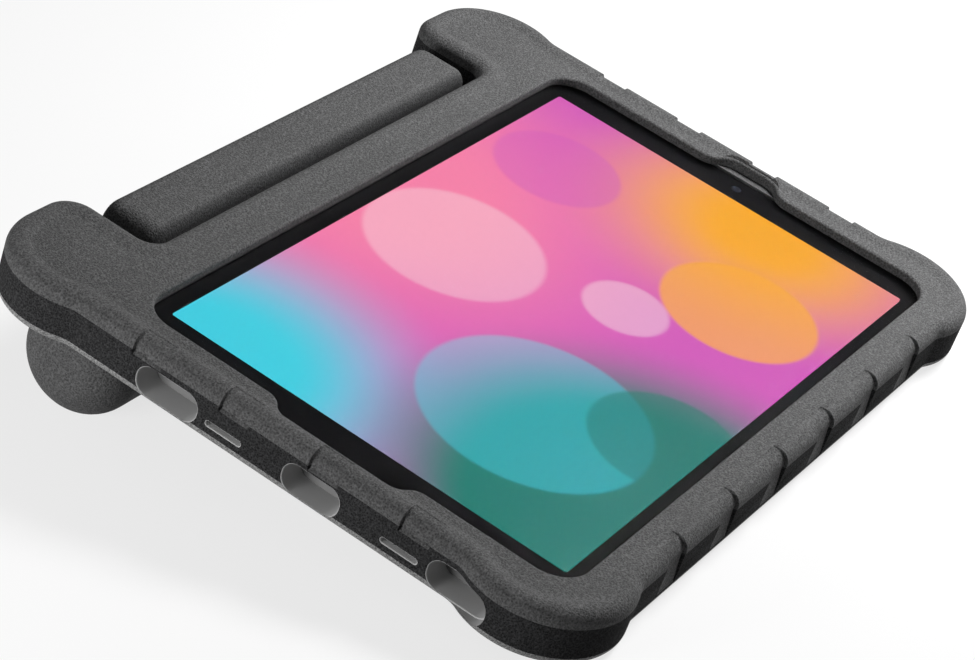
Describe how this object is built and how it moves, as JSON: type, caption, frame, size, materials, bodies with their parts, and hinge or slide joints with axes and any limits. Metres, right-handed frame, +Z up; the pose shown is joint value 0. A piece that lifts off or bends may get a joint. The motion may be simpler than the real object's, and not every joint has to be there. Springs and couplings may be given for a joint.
{
  "type": "kids tablet case",
  "caption": "Thick foam case for a tablet, with bumper lobes on its corners, port cut-outs and a folding foam handle that is also a stand, holding its tablet.",
  "frame": {"origin": "on the table, under the middle of the case's bounding box as it rests on its two knuckles and its front edge", "axes": "+X along the long side toward the front camera, +Y toward the handle, +Z up; the case leans back by about 9.7 degrees about X"},
  "size_m": [0.2722, 0.2088, 0.052],
  "materials": {
    "grey_foam": "matt moulded EVA foam with a fine leathery grain",
    "black_plastic": "matt moulded",
    "tablet_shell": "grey anodised, satin",
    "cover_glass": "polished",
    "black_print": "black print behind glass",
    "display": "lit display with soft fields and round shapes of colour",
    "lens": "polished"
  },
  "bodies": {
    "case": {"shell": "grey_foam", "hinge_peg_left": "black_plastic", "hinge_peg_right": "black_plastic", "tablet_housing": "tablet_shell", "cover_glass": "cover_glass", "black_border": "black_print", "display_panel": "display", "front_camera": "lens", "rear_camera": "lens"},
    "folding_handle": {"handle": "grey_foam"}
  },
  "joints": [
    {"name": "handle_fold", "type": "hinge", "parent": "case", "child": "folding_handle", "pos_m": [0, 0.07425, 0.0185], "axis": [-1, 0, 0], "range_deg": [0, 180]}
  ]
}
